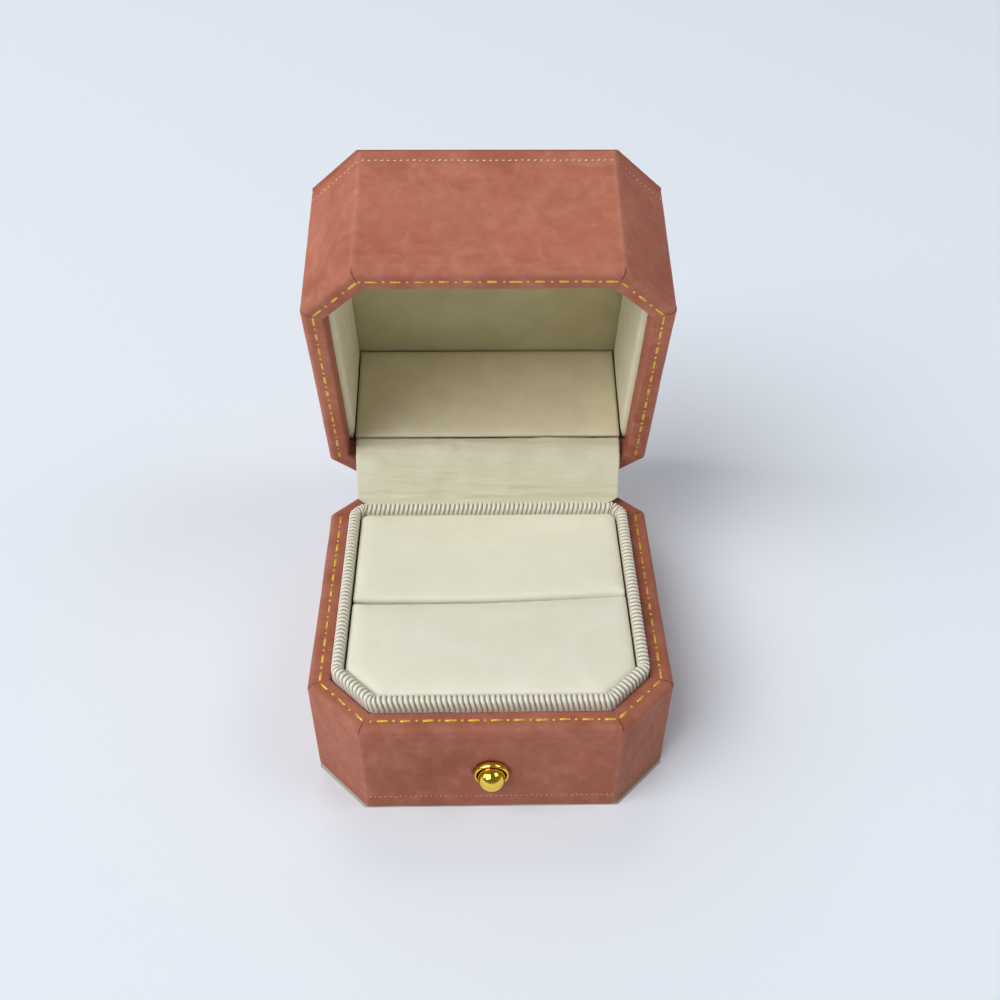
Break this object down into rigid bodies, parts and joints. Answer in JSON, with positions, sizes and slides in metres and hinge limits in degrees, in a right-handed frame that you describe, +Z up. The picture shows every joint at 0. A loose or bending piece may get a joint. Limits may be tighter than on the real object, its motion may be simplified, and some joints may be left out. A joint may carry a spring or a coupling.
{
  "type": "jewellery case",
  "caption": "Small octagonal leather ring case with a hinged lid, a padded ring slot inside a ribbed collar, satin lid lining and a gold push button.",
  "frame": {"origin": "middle of the flat underside of the base", "axes": "+Z up, front with the push button towards -Y, +X to the right seen from the front"},
  "size_m": [0.065, 0.0968, 0.0933],
  "materials": {
    "nubuck": "matt mottled pink-brown nubuck with soft scuffs",
    "panel_paper": "matt grey-beige covering paper",
    "greyboard": "raw grey board",
    "ribbed_satin": "glossy ribbed cream satin",
    "cream_velvet": "short-pile cream velvet",
    "cream_satin": "cream satin with a fine weave",
    "foam": "soft white foam",
    "gold_plate": "polished gold plate",
    "hinge_steel": "plain sheet steel",
    "magnet": "nickel-plated magnet"
  },
  "bodies": {
    "base": {"base_bottom_panel": "panel_paper", "base_frame": "greyboard", "base_hinge_leaf": "hinge_steel", "base_leather": "nubuck", "base_rivet_left": "hinge_steel", "base_rivet_right": "hinge_steel", "button_escutcheon": "gold_plate", "catch_spring": "hinge_steel", "collar_edging": "ribbed_satin", "collar_wall": "greyboard", "front_pad_cover": "cream_velvet", "front_pad_foam": "foam", "hinge_pin": "hinge_steel", "hinge_spring": "hinge_steel", "insert_card": "greyboard", "rear_pad_cover": "cream_velvet", "rear_pad_foam": "foam", "satin_hinge_strip": "cream_satin"},
    "lid": {"lid_frame": "greyboard", "lid_hinge_leaf": "hinge_steel", "lid_keeper": "hinge_steel", "lid_leather": "nubuck", "lid_lining_front": "cream_satin", "lid_lining_front_left": "cream_satin", "lid_lining_front_right": "cream_satin", "lid_lining_left": "cream_satin", "lid_lining_rear": "cream_satin", "lid_lining_right": "cream_satin", "lid_lining_top": "cream_velvet", "lid_rivet_left": "hinge_steel", "lid_rivet_right": "hinge_steel", "lid_top_panel": "nubuck"},
    "button": {"button_knob": "gold_plate", "catch_slide": "hinge_steel", "catch_magnet": "magnet"}
  },
  "joints": [
    {"name": "lid_hinge", "type": "hinge", "parent": "base", "child": "lid", "pos_m": [0, 0.0316, 0.02335], "axis": [1, 0, 0], "range_deg": [0, 73.4], "stiffness_Nm_per_rad": 0.02, "springref_deg": -8.59, "deforming": ["satin_hinge_strip", "hinge_spring"]},
    {"name": "button_press", "type": "slide", "parent": "base", "child": "button", "axis": [0, 1, 0], "range_m": [0, 0.001], "stiffness_N_per_m": 150, "springref_m": -0.002, "deforming": ["catch_spring"]}
  ]
}
